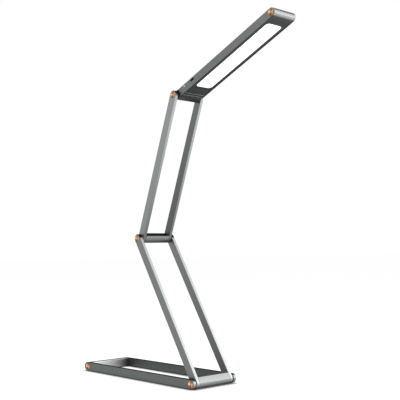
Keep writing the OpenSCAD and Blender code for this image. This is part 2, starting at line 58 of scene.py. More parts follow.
# Places of the axes in a point, and of their outputs in a Separate XYZ node
X, Y, Z = range(3)
print("solids loaded:", len(nodes))

# %% [markdown]
# ## Where the frames lie
#
# Every frame is a long rectangle that turns on an axle at its lower end. Textures such as brushing follow
# the frame they are on, so each frame gets a small record of its hinge point and its direction. The hinge
# points are read from the joints of the model, so nothing is typed twice.

# %% Hinge points and directions
hinge = {joint["name"]: Vector(joint["pos_m"]) for joint in frame["joints"] if "pos_m" in joint}
BASE_HINGE = hinge["fold"]
ELBOW = hinge["elbow_fold"]
HEAD_HINGE = hinge["head_fold"]


def middle(node):
    """Centre of a solid's box."""
    low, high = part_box(node)
    return (low + high) / 2


def extent(corners, axis):
    """Size of a box along an axis, from its lowest and its highest corner."""
    low, high = corners
    return high[axis] - low[axis]


BASE_END = middle("base_end_caps")
NOSE = middle("head_nose_caps")


def direction(start, end):
    """Angle of a frame from +X towards +Z, in radians."""
    along = end - start
    return math.atan2(along.z, along.x)


FRAMES = {
    "base": (BASE_END, 0.0),
    "lower_arm": (BASE_HINGE, direction(BASE_HINGE, ELBOW)),
    "upper_arm": (ELBOW, direction(ELBOW, HEAD_HINGE)),
    "head": (HEAD_HINGE, direction(HEAD_HINGE, NOSE)),
}
for name, (start, angle) in FRAMES.items():
    print(name, "starts at", [round(v, 4) for v in start])
    print("    and points", round(math.degrees(angle), 1), "degrees up")


def own_box(node, part):
    """Corners of a solid's box along the axes of the frame that it is on."""
    start, angle = FRAMES[part]
    to_part = (Matrix.Translation(start) @ Matrix.Rotation(-angle, 4, "Y")).inverted()
    points = [to_part @ vertex.co for vertex in nodes[node].data.vertices]
    return Vector(map(min, *points)), Vector(map(max, *points))


# %% [markdown]
# ## Camera
#
# The photograph is taken from a little above the table's height, with a long lens, from the right of the
# front. Its place, turn and roll were worked out from the hinge points in the picture. The camera is built
# from three directions: to its right, up, and back towards the photographer.

# %% Camera
CAMERA_PLACE = Vector((0.91978, -0.71586, 0.18367))
CAMERA_AZIMUTH = math.radians(48.602)
CAMERA_ELEVATION = math.radians(-4.066)
CAMERA_ROLL = math.radians(-1.0895)
FOCAL_LENGTH = 68.26
SENSOR_WIDTH = 36

back = Vector((math.sin(CAMERA_AZIMUTH) * math.cos(CAMERA_ELEVATION),
               -math.cos(CAMERA_AZIMUTH) * math.cos(CAMERA_ELEVATION),
               math.sin(CAMERA_ELEVATION)))
level_right = (-back).cross(Vector((0, 0, 1))).normalized()
level_up = level_right.cross(-back)
right = level_right * math.cos(CAMERA_ROLL) + level_up * math.sin(CAMERA_ROLL)
up = level_up * math.cos(CAMERA_ROLL) - level_right * math.sin(CAMERA_ROLL)

camera_data = bpy.data.cameras.new("camera")
camera_data.sensor_width = SENSOR_WIDTH
camera_data.lens = FOCAL_LENGTH
camera = bpy.data.objects.new("camera", camera_data)
camera.matrix_world = Matrix((
    (right.x, up.x, back.x, CAMERA_PLACE.x),
    (right.y, up.y, back.y, CAMERA_PLACE.y),
    (right.z, up.z, back.z, CAMERA_PLACE.z),
    (0, 0, 0, 1)))
bpy.context.scene.collection.objects.link(camera)
bpy.context.scene.camera = camera
bpy.context.scene.view_settings.view_transform = "Standard"

# %% [markdown]
# ## Shader maths as Python
#
# A material is a graph of nodes, and a graph is slow to write by hand. The small class below wraps the
# output of a node, so that `1 - mask * 0.4` adds the Math nodes for us. Every other node comes from one
# method, `add`, which takes the node's type, its settings and the values of its sockets.


# %% A wrapper for sockets
class Socket:
    """Output of a node; arithmetic on it adds Math nodes to its tree."""

    def __init__(self, tree, output):
        self.tree = tree
        self.output = output

    def math(self, operation, *others, first=None):
        """Math node on this socket and others; first is a number that comes before the socket."""
        values = [self if first is None else first, *(others if first is None else (self,))]
        return self.tree.add("ShaderNodeMath", dict(enumerate(values)), operation=operation)

    def __add__(self, other):
        return self.math("ADD", other)

    def __radd__(self, other):
        return self.math("ADD", other)

    def __sub__(self, other):
        return self.math("SUBTRACT", other)

    def __rsub__(self, other):
        return self.math("SUBTRACT", first=other)

    def __mul__(self, other):
        return self.math("MULTIPLY", other)

    def __rmul__(self, other):
        return self.math("MULTIPLY", other)

    def __truediv__(self, other):
        return self.math("DIVIDE", other)

    def __abs__(self):
        return self.math("ABSOLUTE")

    def power(self, exponent):
        return self.math("POWER", exponent)

    def ramp(self, low, high):
        """0 below low and 1 above high, with a smooth step between."""
        return self.tree.add("ShaderNodeMapRange", {"Value": self, "From Min": low, "From Max": high},
                             interpolation_type="SMOOTHSTEP")


class Tree:
    """A node tree that is written as Python."""

    def __init__(self, tree):
        self.tree = tree
        tree.nodes.clear()

    def add(self, kind, sockets=None, out=0, **settings):
        """New node with these values or links on its sockets; gives one of its outputs."""
        node = self.tree.nodes.new(kind)
        for name, value in settings.items():
            setattr(node, name, value)
        for name, value in (sockets or {}).items():
            if isinstance(value, Socket):
                self.tree.links.new(value.output, node.inputs[name])
            else:
                node.inputs[name].default_value = value
        return Socket(self, node.outputs[out]) if len(node.outputs) else node

    def place(self):
        """Place on the object, in metres. The solids sit at the origin, so this is the lamp's own frame."""
        return self.add("ShaderNodeTexCoord", out="Object")

    def facing(self):
        """Direction that the surface faces, split into the lamp's own X, Y and Z."""
        return self.split(self.add("ShaderNodeTexCoord", out="Normal"))

    def along(self, part):
        """Place measured from the part's hinge, with X along the part and Z through its depth."""
        start, angle = FRAMES[part]
        return self.add("ShaderNodeMapping", {"Vector": self.place(), "Location": start,
                                              "Rotation": (0, -angle, 0)}, vector_type="TEXTURE")

    def split(self, vector):
        """X, Y and Z of a vector."""
        parts = self.add("ShaderNodeSeparateXYZ", {"Vector": vector})
        return [Socket(self, output) for output in parts.output.node.outputs]

    def stretch(self, vector, scale):
        """Place times a scale of its own along each axis."""
        return self.add("ShaderNodeVectorMath", {0: vector, 1: scale}, operation="MULTIPLY")

    def dim(self, colour, factor):
        """Colour times a number."""
        return self.add("ShaderNodeVectorMath", {0: colour, "Scale": factor}, operation="SCALE")

    def noise(self, vector, scale, detail=2.0):
        return self.add("ShaderNodeTexNoise", {"Vector": vector, "Scale": scale, "Detail": detail})

    def streaks(self, part, axis, drawn_out, fine, detail=3.0):
        """Noise that is fine everywhere but along one axis of a part, where it is drawn out."""
        scale = [fine] * 3
        scale[axis] = drawn_out
        return self.noise(self.stretch(self.along(part), scale), 1.0, detail)

    def blend(self, factor, first, second):
        """Colour between two colours."""
        first, second = (c if isinstance(c, Socket) else (*c, 1) for c in (first, second))
        return self.add("ShaderNodeMix", {0: factor, 6: first, 7: second}, out=2, data_type="RGBA")

    def colours(self, factor, stops):
        """Colour that runs through (place, colour) stops, in rising order of place."""
        ramp = self.add("ShaderNodeValToRGB", {"Fac": factor})
        elements = ramp.output.node.color_ramp.elements
        for i, (place, colour) in enumerate(stops):
            stop = elements[i] if i < 2 else elements.new(place)
            stop.position = place
            stop.color = (*colour, 1)
        return ramp

    def bump(self, height, distance, strength):
        return self.add("ShaderNodeBump", {"Height": height, "Distance": distance, "Strength": strength})


# %% [markdown]
# A finish is a Principled shader with a few of its sockets driven by patterns. The next helper makes the
# material and wires it up. Values that are the same all over go straight on the shader's own sockets.


# %% A helper for finishes
def finish(name, colour, roughness, normal, **more):
    """Material whose sockets each take a value or a pattern: a function that adds it to the tree."""
    material = bpy.data.materials.new(name)
    material.use_nodes = True
    tree = Tree(material.node_tree)
    wanted = {"Base Color": colour, "Roughness": roughness, "Normal": normal, **more}
    values = {socket: value(tree) if callable(value) else value for socket, value in wanted.items()}
    shader = tree.add("ShaderNodeBsdfPrincipled", values)
    tree.add("ShaderNodeOutputMaterial", {"Surface": shader})
    return material


def wear(material, *names):
    """Gives solids a finish: every face of a node shows the material."""
    for name in names:
        mesh = nodes[name].data
        mesh.materials.clear()
        mesh.materials.append(material)
        mesh.polygons.foreach_set("material_index", [0] * len(mesh.polygons))
    print(material.name, "on", ", ".join(names))


# %% [markdown]
# ## Anodised aluminium
#
# The rails are extruded aluminium, blasted with fine beads and anodised grey. Blasting leaves a fine even
# grain, the extrusion leaves faint lines along the rail, and between the two lies a satin of short streaks.
# All three are noise: the first is even in all directions, and the others are drawn out along the frame.
# Use polishes the long edges a little, so the depth through the frame tells where the metal gets paler and
# smoother.
#
# How bright a face looks depends on what it mirrors. A room has more in it than three soft lights, so light
# and shade are also
# painted into the colour: each kind of face gets a painted gain of its own, which may change evenly from
# one end of the part to the other.

# %% Anodised finish
# The oxide layer keeps grazing light from being mirrored in full
GRAZING = {"Specular Tint": (0.2, 0.2, 0.2, 1)}
HALF_DEPTH = extent(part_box("base_rail_front"), Z) / 2
HALF_HEAD = extent(own_box("head_shell", "head"), Z) / 2
LENGTH = {"base": (BASE_HINGE - BASE_END).length, "lower_arm": (ELBOW - BASE_HINGE).length,
          "upper_arm": (HEAD_HINGE - ELBOW).length, "head": (NOSE - HEAD_HINGE).length}
WIDTH = extent(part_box("base_end_bar"), Y)
EVEN = (1.0, 1.0)

# Scales of the streaks along the grain and across it, and of the even noises, in repeats per metre
FINE_LINES = (25, 1500)
SATIN = (200, 900)
BEADS = 2600
WORN_SPOTS = 420
# How far from a face's edge it is worn
WORN_EDGE = 0.6 * MM


def anodised(name, part, grey, axis=X, front=EVEN, inner=EVEN, side=EVEN, top=1.0, under=1.0, tip=1.0,
             half=HALF_DEPTH, worn=0.05):
    """Grey anodised metal with its grain along the part, or across it where axis is Y.

    Gains multiply the grey: they are painted light and painted shade. A pair is for the part's two ends, or
    its
    two sides where axis is Y: front is for every face, inner for those that look in at the other rail, side
    for those that look towards +X. A single one is for faces that look up (top), the underside (under) or
    the far end's upper part (tip).
    """
    def fine_lines(tree):
        return tree.streaks(part, axis, *FINE_LINES)

    def satin(tree):
        return tree.streaks(part, axis, *SATIN, detail=2.0)

    def beads(tree):
        return tree.noise(tree.along(part), BEADS)

    def edge(tree):
        """1 in worn spots along the edges of the broad faces."""
        place = tree.along(part)
        depth = abs(tree.split(place)[Z]).ramp(half - WORN_EDGE, half)
        broad = abs(tree.facing()[Y]).ramp(0.3, 0.8)
        return depth * broad * tree.noise(place, WORN_SPOTS, 3.0).ramp(0.42, 0.68)

    def colour(tree):
        metal = tree.dim(grey, 0.76 + fine_lines(tree) * 0.12 + beads(tree) * 0.06 + satin(tree) * 0.3)
        x, y, z = tree.split(tree.along(part))
        facing = tree.facing()
        run = y / WIDTH + 0.5 if axis == Y else x / LENGTH[part]

        def painted_gain(mask, start, end):
            """Painted gain: 1 where the mask is 0; where it is 1, what runs evenly from the start to the
            end.
            """
            return 1 + mask * (start - 1 + run * (end - start))

        # On a face that looks in at the lamp's middle, Y and the way it faces have opposite signs
        looks_in = (facing[Y] * y * -100).ramp(0.2, 1.0)
        looks_right = facing[X].ramp(0.2, 0.6)
        looks_up = facing[Z].ramp(0.58, 0.72)
        below = (z * -1).ramp(half - 0.5 * MM, half - 0.1 * MM)
        far_end = x.ramp(LENGTH[part] - 4.5 * MM, LENGTH[part] - 1.5 * MM) * facing[Z].ramp(0.1, 0.4)
        # Every gain paints light and shade: inner, top, under and tip darken faces as shade would, side
        # paints light and shade on faces towards +X, and front paints a change of brightness along the part
        shade = painted_gain(1, *front) * painted_gain(looks_in, *inner) * painted_gain(looks_right, *side)
        shade = shade * painted_gain(looks_up, top, top) * painted_gain(below, under, under) * painted_gain(far_end, tip, tip)
        return tree.blend(edge(tree) * worn, tree.dim(metal, shade), [2 * v for v in grey])

    def polish(tree):
        return 0.42 + (fine_lines(tree) - 0.5) * 0.12 + (satin(tree) - 0.5) * 0.1 - edge(tree) * 0.08

    def surface(tree):
        return tree.bump(beads(tree) * 0.6 + fine_lines(tree) * 0.4, 0.006 * MM, 0.5)

    return finish(name, colour, polish, surface, Metallic=1.0, **GRAZING)


# The frames' greys differ from frame to frame to match how bright each frame looks: lit and shaded copies
# of one anodised metal
wear(anodised("base rails", "base", (0.144, 0.156, 0.152), front=(1.12, 0.96), inner=(0.8, 0.62),
              side=(1.8, 1.8), top=0.3, worn=0.0),
     "base_rail_front", "base_rail_back")
wear(anodised("base end bar", "base", (0.33, 0.347, 0.341), axis=Y, side=(1.9, 0.5)), "base_end_bar")
wear(anodised("lower arm rails", "lower_arm", (0.172, 0.18, 0.178), front=(1.08, 1.38), inner=(0.62, 0.95),
              side=(1.7, 0.95), top=0.12, tip=0.08),
     "lower_arm_rail_front", "lower_arm_rail_back")
wear(anodised("upper arm rails", "upper_arm", (0.288, 0.305, 0.3), front=(0.95, 1.12), inner=(0.45, 0.57),
              side=(0.5, 0.85), top=0.12, tip=0.08),
     "upper_arm_rail_front", "upper_arm_rail_back")
wear(anodised("head shell", "head", (0.19, 0.204, 0.2), under=0.25, half=HALF_HEAD, worn=0.0), "head_shell")

# %% [markdown]
# The bars of the two arms and the head's nose are the same metal, brushed across the lamp. Metal brushed
# like that spreads the light into bands along the bar, and here those bands are painted: a ramp of greys
# over the bar's height is painted highlight and painted shade. The height is measured along a direction
# that is given for each bar, from -1 at one side to 1 at the other.


# %% Cross bars
def bar_with_painted_bands(name, part, towards, painted_bands, centre=0.0, half=HALF_DEPTH):
    """Brushed bar whose grey follows (height, grey) pairs along a direction of the part's own X and Z:
    painted highlight and painted shade.

    centre is how far along the part the middle of the bar lies.
    """
    def brush(tree):
        return tree.streaks(part, Y, 20, 1500)

    def colour(tree):
        x, y, z = tree.split(tree.along(part))
        height = ((x - centre) * (towards[0] / half) + z * (towards[1] / half)) * 0.5 + 0.5
        # Painted highlight and painted shade: the grey of each band across the bar
        painted_tones = [(level * 0.5 + 0.5, (grey - 0.006, grey + 0.004, grey + 0.002)) for level, grey in painted_bands]
        return tree.dim(tree.colours(height, painted_tones), 0.96 + brush(tree) * 0.08)

    def polish(tree):
        return 0.4 + (brush(tree) - 0.5) * 0.16

    def surface(tree):
        return tree.bump(brush(tree), 0.002 * MM, 0.3)

    return finish(name, colour, polish, surface, Metallic=1.0, **GRAZING)


wear(bar_with_painted_bands("lower arm bar", "lower_arm", (0.849, -0.528),
            ((-1, 0.56), (-0.7, 0.335), (0, 0.235), (1, 0.21))),
     "lower_arm_bar")
wear(bar_with_painted_bands("upper arm bar", "upper_arm", (0.929, 0.37),
            ((-1, 0.045), (-0.8, 0.075), (-0.6, 0.145), (-0.1, 0.18),
             (0.15, 0.215), (0.32, 0.28), (0.5, 0.12), (0.7, 0.045))),
     "upper_arm_bar")
wear(bar_with_painted_bands("nose bar", "head", (0.728, 0.686),
            ((-1, 0.09), (-0.7, 0.095), (-0.45, 0.14), (-0.1, 0.265),
             (0.2, 0.285), (0.45, 0.23), (0.7, 0.16), (1, 0.08)), LENGTH["head"], HALF_HEAD),
     "head_nose")

# %% [markdown]
# ## Black and dark parts of the head
#
# The hinge block is a die casting with a satin black coat, which dries with a faint orange peel. The cover
# strip and the bezel are moulded plastic with a fine spark-eroded texture. Such plastic is dark because
# little light comes back out of it, and its shine is weak and broad.


# %% Coats and plastics
def moulded(name, colour, roughness, grain=1800, depth=0.03 * MM, specular=0.25, mottle=0.18, **more):
    """Plastic or coat with a fine texture; its colour is three numbers or a pattern."""
    def texture(tree):
        return tree.noise(tree.place(), grain, 3.0)

    def tint(tree):
        plain = colour(tree) if callable(colour) else colour
        return tree.dim(plain, 1 + (texture(tree) - 0.5) * 2 * mottle)

    def shine(tree):
        return roughness + (tree.noise(tree.place(), grain / 12) - 0.5) * 0.16

    def surface(tree):
        return tree.bump(texture(tree), depth, 0.6)

    return finish(name, tint, shine, surface, **{"Specular IOR Level": specular, **more})


def bezel_colour(tree):
    """Colour of the bezel, darker towards the hinge."""
    x = tree.split(tree.along("head"))[X]
    return tree.blend(x.ramp(30 * MM, 110 * MM), (0.043, 0.05, 0.048), (0.07, 0.08, 0.078))


wear(moulded("hinge coat", (0.012, 0.012, 0.013), 0.38, 500, specular=0.35), "head_hinge_block")
wear(moulded("cover plastic", (0.028, 0.033, 0.032), 0.6, specular=0.12), "hinge_cover")
wear(moulded("bezel plastic", bezel_colour, 0.6, 900, specular=0.12, mottle=0.22), "bezel")
wear(moulded("inlet insert", (0.012, 0.012, 0.012), 0.45), "socket_tongue")

# %% [markdown]
# ## The lit window
#
# The diffuser is opal acrylic with white light behind it. A lit panel is a light source, so it gets an
# emission. Near its long sides less light reaches it, and it dims by a few per cent there.


# %% Opal diffuser
def opal_glow(tree):
    place = tree.along("head")
    rim = abs(tree.split(place)[Y]).ramp(11 * MM, 15.5 * MM)
    frost = tree.noise(place, 1500)
    return tree.blend(rim * 0.5 + frost * 0.1, (1.0, 1.0, 0.99), (0.93, 0.94, 0.95))


wear(moulded("opal acrylic", (0.9, 0.9, 0.89), 0.5, 1500, 0.01 * MM, 0.3, 0.02,
             **{"Emission Color": opal_glow, "Emission Strength": 1.15}), "diffuser")

# %% [markdown]
# ## Turned metal
#
# Each copper cap is faced on a lathe. The tool leaves fine rings, and rings like these throw the light back
# in bright and dark fans, as on the bottom of a pan. Here the fans are painted into the colour, as painted
# highlights and painted shade, which is cheap and looks the same from everywhere: the angle round the
# centre drives two bright sectors, and the distance from the centre drives the rings. The piece carries its
# own place as an attribute called face, in millimetres from its centre.

# %% Spun copper
# In millimetres, to the nearest hundredth
CAP_RADIUS = round(extent(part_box("base_axle_caps"), X) / 2 / MM, 2)
print("cap radius:", CAP_RADIUS, "mm")


def copper_patterns(tree):
    """Painted bright and dark fans, fine rings, and the distance from the centre."""
    face = tree.add("ShaderNodeAttribute", out="Vector", attribute_name="face")
    x, y, z = tree.split(face)
    angle = z.math("ARCTAN2", x)
    distance = (x * x + z * z).power(0.5)
    wide = (angle + 0.6).math("SINE") * 0.15 + (angle * 2 + 1.1).math("SINE") * 0.35 + 0.5
    narrow = (angle * 5 + 0.4).math("SINE") * 0.5 + 0.5
    rings = tree.add("ShaderNodeTexNoise", {"Scale": 1.0, "Detail": 3.0, "W": distance * 9},
                     noise_dimensions="1D")
    return wide * 0.8 + narrow * 0.2, rings, distance


def copper_colour(tree):
    painted_fans, rings, distance = copper_patterns(tree)
    shade = painted_fans * 0.8 + rings * 0.2
    warm = tree.colours(shade, [(0.22, (0.17, 0.062, 0.02)), (0.5, (0.5, 0.205, 0.062)),
                                (0.76, (0.93, 0.6, 0.33))])
    # The rim is painted darker: painted shade round the cap's edge
    rim = distance.ramp(CAP_RADIUS - 0.45, CAP_RADIUS)
    return tree.blend(rim * 0.35, warm, (0.22, 0.085, 0.04))


def copper_polish(tree):
    painted_fans, rings, distance = copper_patterns(tree)
    return 0.34 - painted_fans * 0.08 + rings * 0.08


def copper_surface(tree):
    painted_fans, rings, distance = copper_patterns(tree)
    return tree.bump(rings, 0.02 * MM, 0.7)


spun_copper = finish("spun copper", copper_colour, copper_polish, copper_surface, Metallic=0.9)

# %% [markdown]
# The cap itself is a lathe part too, so its mesh is a profile turned about its axis: a rounded rim, a
# shallow dish with two steps, and a centre mark. `turned` spins a profile about Y. Its points are given as
# distance from the axis and height along it, from the middle of the face outwards and down to the back.


# %% Turning a profile
def turned(profile, segments=72):
    """Mesh of a profile [(radius, height), ...] turned about Y, closed where it meets the axis."""
    work = bmesh.new()
    rings = []
    for radius, height in profile:
        if radius < 1e-9:
            rings.append([work.verts.new((0, height, 0))])
        else:
            rings.append([work.verts.new((radius * math.cos(a), height, radius * math.sin(a)))
                          for a in (2 * math.pi * i / segments for i in range(segments))])
    for first, second in zip(rings, rings[1:]):
        for i in range(segments):
            corners = [first[i % len(first)], first[(i + 1) % len(first)],
                       second[(i + 1) % len(second)], second[i % len(second)]]
            unique = [v for k, v in enumerate(corners) if v not in corners[:k]]
            if len(unique) > 2:
                work.faces.new(unique)
    bmesh.ops.recalc_face_normals(work, faces=work.faces)
    mesh = bpy.data.meshes.new("turned")
    work.to_mesh(mesh)
    work.free()
    mesh.polygons.foreach_set("use_smooth", [True] * len(mesh.polygons))
    return mesh


def mark_face(mesh):
    """Stores each point's place on the turned face, in millimetres, for the finish."""
    marks = mesh.attributes.new("face", "FLOAT_VECTOR", "POINT")
    marks.data.foreach_set("vector", [v / MM for point in mesh.vertices for v in point.co])


# %% Profile of a cap
# All in millimetres. The points of the face are (distance from the axis, height from the top of the rim)
CAP_THICK = 1.6
STUB_RADIUS = 1.2
STUB_LENGTH = 1.3
CHAMFER = 0.15
centre_mark = ((0, -0.34), (0.35, -0.3), (0.5, -0.24), (0.56, -0.26))
dish = ((2.2, -0.2), (2.3, -0.16), (2.42, -0.17), (3.7, -0.1), (3.85, -0.03))
rounded_rim = ((4.05, 0), (4.3, -0.01), (4.5, -0.08), (4.62, -0.22), (CAP_RADIUS, -0.4))
back_side = ((CAP_RADIUS, 0.12), (CAP_RADIUS - 0.1, 0))
stub = ((STUB_RADIUS, 0), (STUB_RADIUS, CHAMFER - STUB_LENGTH), (STUB_RADIUS - CHAMFER, -STUB_LENGTH),
        (0, -STUB_LENGTH))
cap_face = tuple((radius, CAP_THICK + height) for radius, height in centre_mark + dish + rounded_rim)
cap_mesh = turned([(radius * MM, height * MM) for radius, height in cap_face + back_side + stub])
mark_face(cap_mesh)
print("cap:", len(cap_mesh.polygons), "faces")

# %% [markdown]
# Every hinge has two caps, one at each end of its axle, facing outwards, and so have the two round ends of
# the lamp. That is a repeat, so a small Geometry Nodes tree makes it: a line of two points, the cap
# instanced on both, and the front one turned half round about Z. Realize Instances makes real faces of
# them, and Set Material gives them the finish.


# %% A tree that puts a piece at both ends of an axle
def group_with(name, **inputs):
    """Geometry Nodes group with these inputs, its tree, and the inputs as sockets in that tree."""
    group = bpy.data.node_groups.new(name, "GeometryNodeTree")
    for label, kind in {"Geometry": "Geometry", **inputs}.items():
        group.interface.new_socket(label.replace("_", " "), in_out="INPUT", socket_type="NodeSocket" + kind)
    group.interface.new_socket("Geometry", in_out="OUTPUT", socket_type="NodeSocketGeometry")
    tree = Tree(group)
    outputs = tree.add("NodeGroupInput").output.node.outputs
    return group, tree, {output.name: Socket(tree, output) for output in outputs if output.name}


def both_ends_tree():
    group, tree, given = group_with("both ends of an axle", Centre="Vector", Half_Width="Float",
                                    Finish="Material")
    # Point 0 is the front one
    index = tree.add("GeometryNodeInputIndex")
    offset = tree.add("ShaderNodeCombineXYZ", {"Y": (index * 2 - 1) * given["Half Width"]})
    place = tree.add("ShaderNodeVectorMath", {0: given["Centre"], 1: offset}, operation="ADD")
    ends = tree.add("GeometryNodeMeshLine", {"Count": 2})
    ends = tree.add("GeometryNodeSetPosition", {"Geometry": ends, "Position": place})
    turn = tree.add("ShaderNodeCombineXYZ", {"Z": (1 - index) * math.pi})
    copies = tree.add("GeometryNodeInstanceOnPoints", {"Points": ends, "Instance": given["Geometry"],
                                                       "Rotation": turn})
    real = tree.add("GeometryNodeRealizeInstances", {"Geometry": copies})
    done = tree.add("GeometryNodeSetMaterial", {"Geometry": real, "Material": given["Finish"]})
    tree.add("NodeGroupOutput", {"Geometry": done})
    return group


def socket_named(group, name):
    """Identifier of a group's input, which is what a modifier is set by."""
    return next(item.identifier for item in group.interface.items_tree
                if item.item_type == "SOCKET" and item.in_out == "INPUT" and item.name == name)


def grown(name, mesh, group, **values):
    """Plain mesh object that a Geometry Nodes tree makes from a mesh; values are the tree's inputs."""
    seed = bpy.data.objects.new(name + " seed", mesh)
    bpy.context.scene.collection.objects.link(seed)
    modifier = seed.modifiers.new("grow", "NODES")
    modifier.node_group = group
    for key, value in values.items():
        modifier[socket_named(group, key.replace("_", " "))] = value
    bpy.context.view_layer.update()
    done = seed.evaluated_get(bpy.context.evaluated_depsgraph_get())
    grown_mesh = bpy.data.meshes.new_from_object(done)
    bpy.data.objects.remove(seed)
    piece = bpy.data.objects.new(name, grown_mesh)
    bpy.context.scene.collection.objects.link(piece)
    return piece


# %% Caps on every hinge
BOTH_ENDS = both_ends_tree()
for node, body, place in (("base_end_caps", "root", "end"),
                          ("base_axle_caps", "base_axle", "base"),
                          ("elbow_axle_caps", "elbow_axle", "elbow"),
                          ("head_axle_caps", "head_axle", "head"),
                          ("head_nose_caps", "head", "nose")):
    half_width = extent(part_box(node), Y) / 2 - CAP_THICK * MM
    piece = grown("spun_caps_" + place, cap_mesh, BOTH_ENDS, Centre=middle(node), Half_Width=half_width,
                  Finish=spun_copper)
    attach(piece, body)
    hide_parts(node)
    print(piece.name, len(piece.data.polygons), "faces")

# %% [markdown]
# ## Small and hidden parts
#
# Axles, bushes, washers and screws sit inside the joints, and the battery, the boards and the LEDs inside
# the head. They get finishes of their own, for whoever takes the lamp apart: ground steel with lines round
# the shaft, porous bronze, spring steel, dull zinc, and so on. The plain caps, feet and button get none,
# because detailed pieces take their places.


# %% Finishes of the small parts
def metal(name, colour, roughness, scale, mottle, grain=(1, 1, 1), depth=0.01 * MM):
    """Bare metal with a grain that may be stretched."""
    def texture(tree):
        return tree.noise(tree.stretch(tree.place(), grain), scale, 3.0)

    def tint(tree):
        return tree.dim(colour, 1 + (texture(tree) - 0.5) * 2 * mottle)

    def shine(tree):
        return roughness + (tree.noise(tree.stretch(tree.place(), grain), scale / 2) - 0.5) * 0.2

    def surface(tree):
        return tree.bump(texture(tree), depth, 0.5)

    return finish(name, tint, shine, surface, Metallic=1.0)


gold_plate = metal("gold plate", (0.85, 0.60, 0.25), 0.25, 1500, 0.1)
wear(metal("ground steel", (0.56, 0.56, 0.55), 0.25, 900, 0.12, (0.2, 4, 0.2)),
     "base_axle", "elbow_axle", "head_axle")
wear(metal("sintered bronze", (0.50, 0.34, 0.15), 0.42, 2500, 0.3),
     "base_bushes", "lower_arm_bushes", "upper_arm_bushes")
wear(metal("spring steel", (0.62, 0.62, 0.63), 0.32, 1200, 0.15),
     "base_spring_washers", "elbow_spring_washers", "head_spring_washers")
wear(metal("zinc plate", (0.58, 0.60, 0.62), 0.36, 1400, 0.15),
     "base_bar_screws", "lower_arm_screws", "upper_arm_screws", "head_screws")
wear(metal("nickel strip", (0.62, 0.62, 0.60), 0.28, 800, 0.1), "battery_tabs")
wear(metal("black nickel", (0.035, 0.035, 0.036), 0.4, 800, 0.1), "charging_socket")
wear(metal("pouch foil", (0.66, 0.66, 0.67), 0.4, 300, 0.12, depth=0.05 * MM), "battery")
wear(gold_plate, "board_pins")
wear(moulded("foam tape", (0.02, 0.02, 0.021), 0.9, 900, 0.08 * MM, 0.1), "battery_tape")
wear(moulded("reflector white", (0.86, 0.86, 0.84), 0.35, 900), "reflector")
wear(moulded("board white", (0.80, 0.79, 0.74), 0.4, 700), "led_board")
wear(moulded("led lens", (0.85, 0.68, 0.25), 0.25, 1500, specular=0.5), "leds")
wear(moulded("board green", (0.02, 0.13, 0.055), 0.35, 260, mottle=0.35, specular=0.5), "control_board")
wear(moulded("switch plastic", (0.25, 0.25, 0.25), 0.5, 1200), "tact_switch")

# %% [markdown]
# ## Small repeated pieces
#
# The contacts of the charging inlet, the two trim strips beside the hinge cover and the four rubber feet
# are each one small mesh set out on a lattice. One Geometry Nodes tree serves all three: a grid of points,
# the mesh on each point, and the whole turned to lie along its frame and moved to its centre.


# %% A tree that sets a piece out on a lattice
def lattice_tree():
    group, tree, given = group_with("copies on a lattice", Columns="Int", Rows="Int", Length="Float",
                                    Width="Float", Centre="Vector", Turn="Vector", Finish="Material")
    points = tree.add("GeometryNodeMeshGrid", {
        "Size X": given["Length"], "Size Y": given["Width"],
        "Vertices X": given["Columns"], "Vertices Y": given["Rows"]})
    copies = tree.add("GeometryNodeInstanceOnPoints", {"Points": points, "Instance": given["Geometry"]})
    real = tree.add("GeometryNodeRealizeInstances", {"Geometry": copies})
    moved = tree.add("GeometryNodeTransform", {"Geometry": real, "Translation": given["Centre"],
                                               "Rotation": given["Turn"]})
    done = tree.add("GeometryNodeSetMaterial", {"Geometry": moved, "Material": given["Finish"]})
    tree.add("NodeGroupOutput", {"Geometry": done})
    return group


LATTICE = lattice_tree()
HEAD_START, HEAD_ANGLE = FRAMES["head"]
HEAD_TURN = (0.0, -HEAD_ANGLE, 0.0)


def in_head(x, y, z):
    """Place in the lamp's frame of a point given along the head's own axes."""
    return HEAD_START + Matrix.Rotation(-HEAD_ANGLE, 3, "Y") @ Vector((x, y, z))


def bar_mesh(name, length, width, height, bevel):
    """Box with bevelled edges, centred on the origin."""
    work = bmesh.new()
    bmesh.ops.create_cube(work, size=1, matrix=Matrix.Diagonal((length, width, height, 1)))
    bmesh.ops.bevel(work, geom=work.edges[:], offset=bevel, segments=2, affect="EDGES", profile=0.5)
    mesh = bpy.data.meshes.new(name)
    work.to_mesh(mesh)
    work.free()
    return mesh


# %% Contacts of the inlet
tongue_low, tongue_high = own_box("socket_tongue", "head")
CONTACTS = 5
CONTACT_PITCH = 0.65 * MM
CONTACT_SIZE = Vector((0.32, 2.2, 0.12)) * MM
CONTACT_BEVEL = 0.03 * MM
CONTACT_INSET = 0.2 * MM
# Half the thickness of the tongue itself, which stands on a taller block
TONGUE_HALF = 0.35 * MM
contacts = grown("inlet_contacts", bar_mesh("contact", *CONTACT_SIZE, CONTACT_BEVEL), LATTICE,
                 Columns=CONTACTS, Rows=1, Length=(CONTACTS - 1) * CONTACT_PITCH, Width=0.0, Turn=HEAD_TURN,
                 Centre=in_head((tongue_low.x + tongue_high.x) / 2,
                                tongue_low.y + CONTACT_INSET + CONTACT_SIZE.y / 2,
                                (tongue_low.z + tongue_high.z) / 2 - TONGUE_HALF - CONTACT_SIZE.z / 2),
                 Finish=gold_plate)
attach(contacts, "head")

# %% Trim strips beside the hinge cover
cover_low, cover_high = own_box("hinge_cover", "head")
bezel_low, bezel_high = own_box("bezel", "head")
groove = bezel_low.x - cover_high.x
